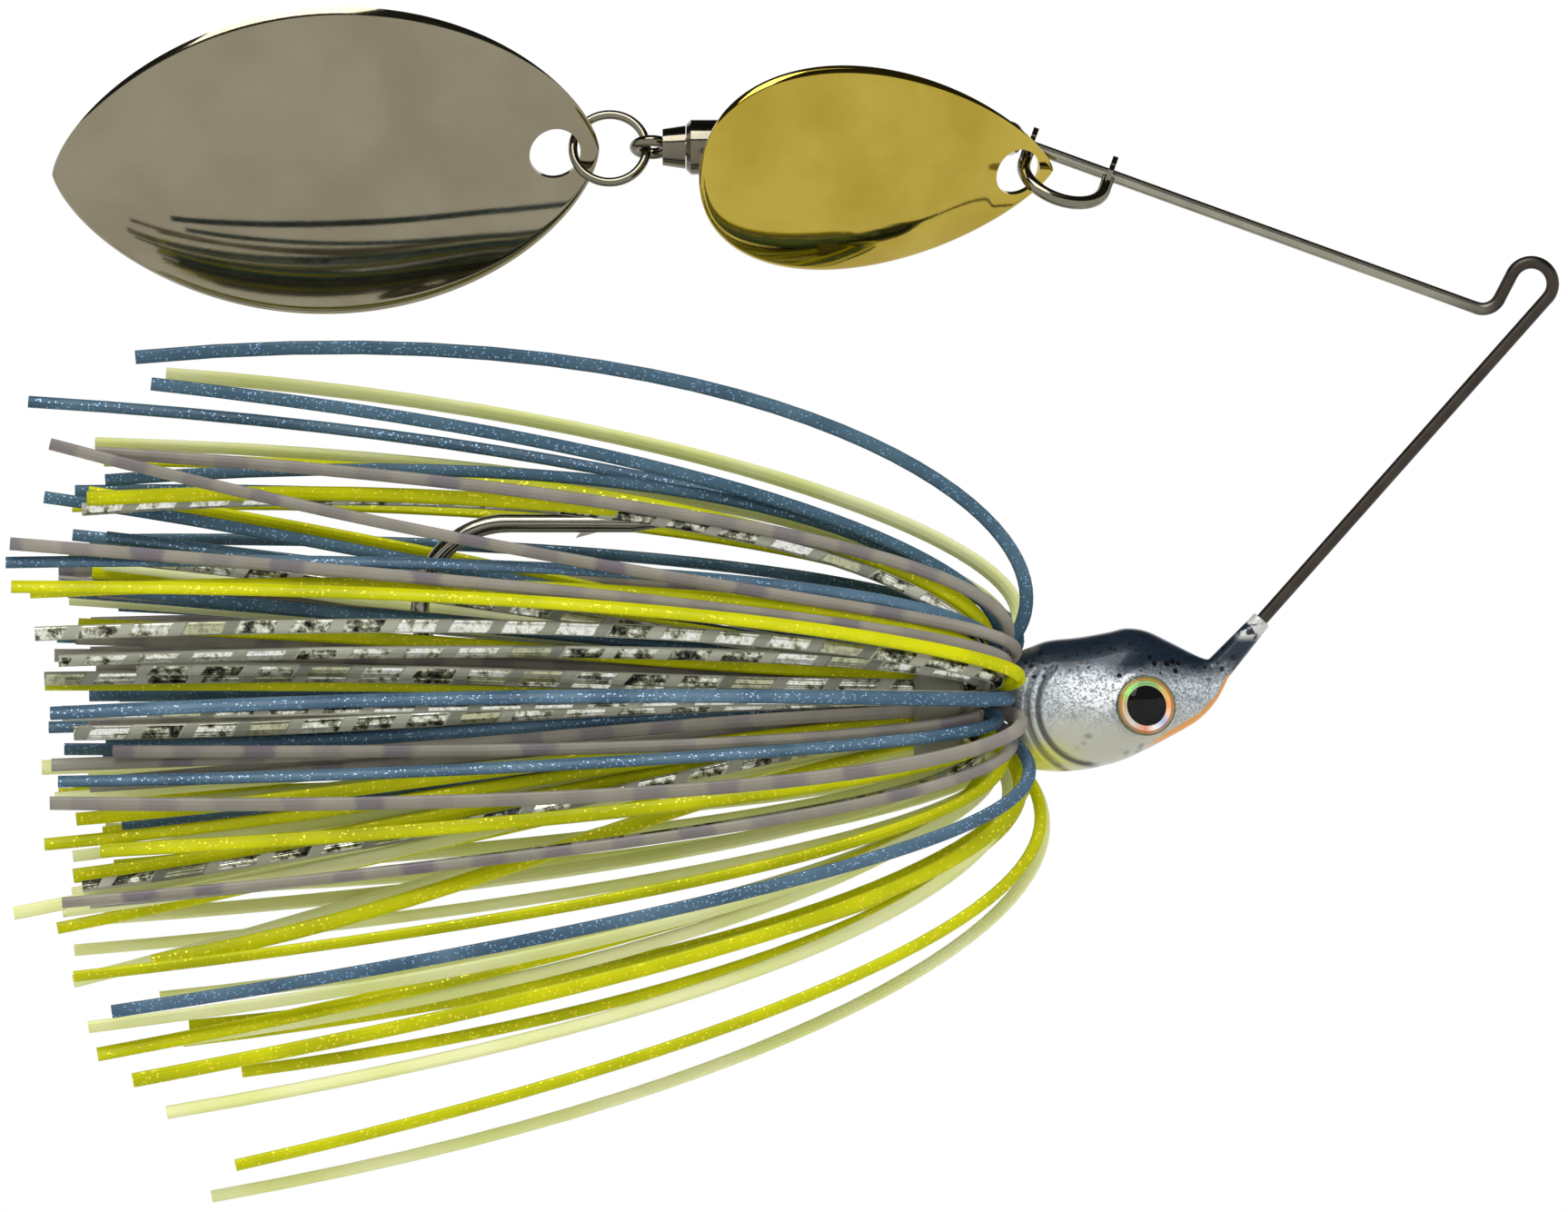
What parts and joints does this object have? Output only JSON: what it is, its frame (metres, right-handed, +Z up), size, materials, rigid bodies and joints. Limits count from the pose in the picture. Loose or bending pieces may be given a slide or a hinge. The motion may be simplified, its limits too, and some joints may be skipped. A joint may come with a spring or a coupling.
{
  "type": "spinnerbait fishing lure",
  "caption": "Spinnerbait lure: bent wire frame with a cast fish-shaped head and hook, a banded silicone skirt, a blade on a clevis and a pointed blade on a ball-bearing swivel.",
  "frame": {"origin": "centre of the open bend in the wire that takes the fishing line", "axes": "+X forward, the way the lure is pulled; +Y to the far side of the picture; +Z up, with the lure in its swimming pose"},
  "size_m": [0.1015, 0.0178, 0.078],
  "materials": {
    "spring_wire": "drawn wire, dull grey",
    "painted_head": "glitter paint, dark back, pale belly, chartreuse throat",
    "hook_steel": "plated hook wire",
    "eye_print": "printed foil disc with a dark pupil",
    "eye_clear": "clear resin dome",
    "collar_rubber": "matte rubber",
    "silicone_blue": "slate blue silicone with glitter",
    "silicone_chartreuse": "bright chartreuse silicone",
    "silicone_pale": "translucent pale chartreuse silicone",
    "silicone_smoke": "smoke grey silicone with violet bars",
    "silicone_foil": "clear silicone with printed foil patches",
    "bright_wire": "bright plated wire",
    "gold_plate": "mirror gold plate",
    "bead_metal": "plated beads",
    "swivel_metal": "bright nickel",
    "nickel_plate": "satin nickel plate"
  },
  "bodies": {
    "frame": {"wire_frame": "spring_wire", "head": "painted_head", "hook": "hook_steel", "left_eye_disc": "eye_print", "left_eye_dome": "eye_clear", "right_eye_disc": "eye_print", "right_eye_dome": "eye_clear", "skirt_collar": "collar_rubber", "skirt_blue": "silicone_blue", "skirt_chartreuse": "silicone_chartreuse", "skirt_pale": "silicone_pale", "skirt_smoke": "silicone_smoke", "skirt_foil": "silicone_foil"},
    "clevis": {"clevis": "bright_wire"},
    "front_blade": {"front_blade": "gold_plate"},
    "bead_1": {"bead_1": "bead_metal"},
    "bead_2": {"bead_2": "bead_metal"},
    "bead_3": {"bead_3": "bead_metal"},
    "swivel": {"swivel_back_eye": "bright_wire", "swivel_barrel": "swivel_metal", "swivel_balls": "swivel_metal"},
    "swivel_front": {"swivel_front_eye": "swivel_metal"},
    "ring": {"blade_ring": "bright_wire"},
    "rear_blade": {"rear_blade": "nickel_plate"}
  },
  "joints": [
    {"name": "clevis_spin", "type": "hinge", "parent": "frame", "child": "clevis", "pos_m": [-0.03008, 0, 0.00802], "axis": [-0.9403, 0, 0.3404], "continuous": true},
    {"name": "front_blade_swing", "type": "hinge", "parent": "clevis", "child": "front_blade", "pos_m": [-0.03047, -0.00164, 0.00695], "axis": [0.2788, -0.5736, 0.7702], "range_deg": [-5, 25]},
    {"name": "bead_1_spin", "type": "hinge", "parent": "frame", "child": "bead_1", "pos_m": [-0.03008, 0, 0.00802], "axis": [-0.9403, 0, 0.3404], "continuous": true},
    {"name": "bead_2_spin", "type": "hinge", "parent": "frame", "child": "bead_2", "pos_m": [-0.03008, 0, 0.00802], "axis": [-0.9403, 0, 0.3404], "continuous": true},
    {"name": "bead_3_spin", "type": "hinge", "parent": "frame", "child": "bead_3", "pos_m": [-0.03008, 0, 0.00802], "axis": [-0.9403, 0, 0.3404], "continuous": true},
    {"name": "swivel_swing", "type": "hinge", "parent": "frame", "child": "swivel", "pos_m": [-0.04578, 0, 0.0089], "axis": [0, 1, 0], "range_deg": [-3, 40]},
    {"name": "swivel_spin", "type": "hinge", "parent": "swivel", "child": "swivel_front", "pos_m": [-0.04578, 0, 0.0089], "axis": [-1, 0, 0], "continuous": true},
    {"name": "ring_swing", "type": "hinge", "parent": "swivel_front", "child": "ring", "pos_m": [-0.05839, 0, 0.0089], "axis": [0, 0.9272, -0.3746], "range_deg": [-2, 30]},
    {"name": "rear_blade_flap", "type": "hinge", "parent": "ring", "child": "rear_blade", "pos_m": [-0.06246, -0.00008, 0.00871], "axis": [-0.0523, 0.3741, 0.9259], "range_deg": [-20, 20]}
  ]
}
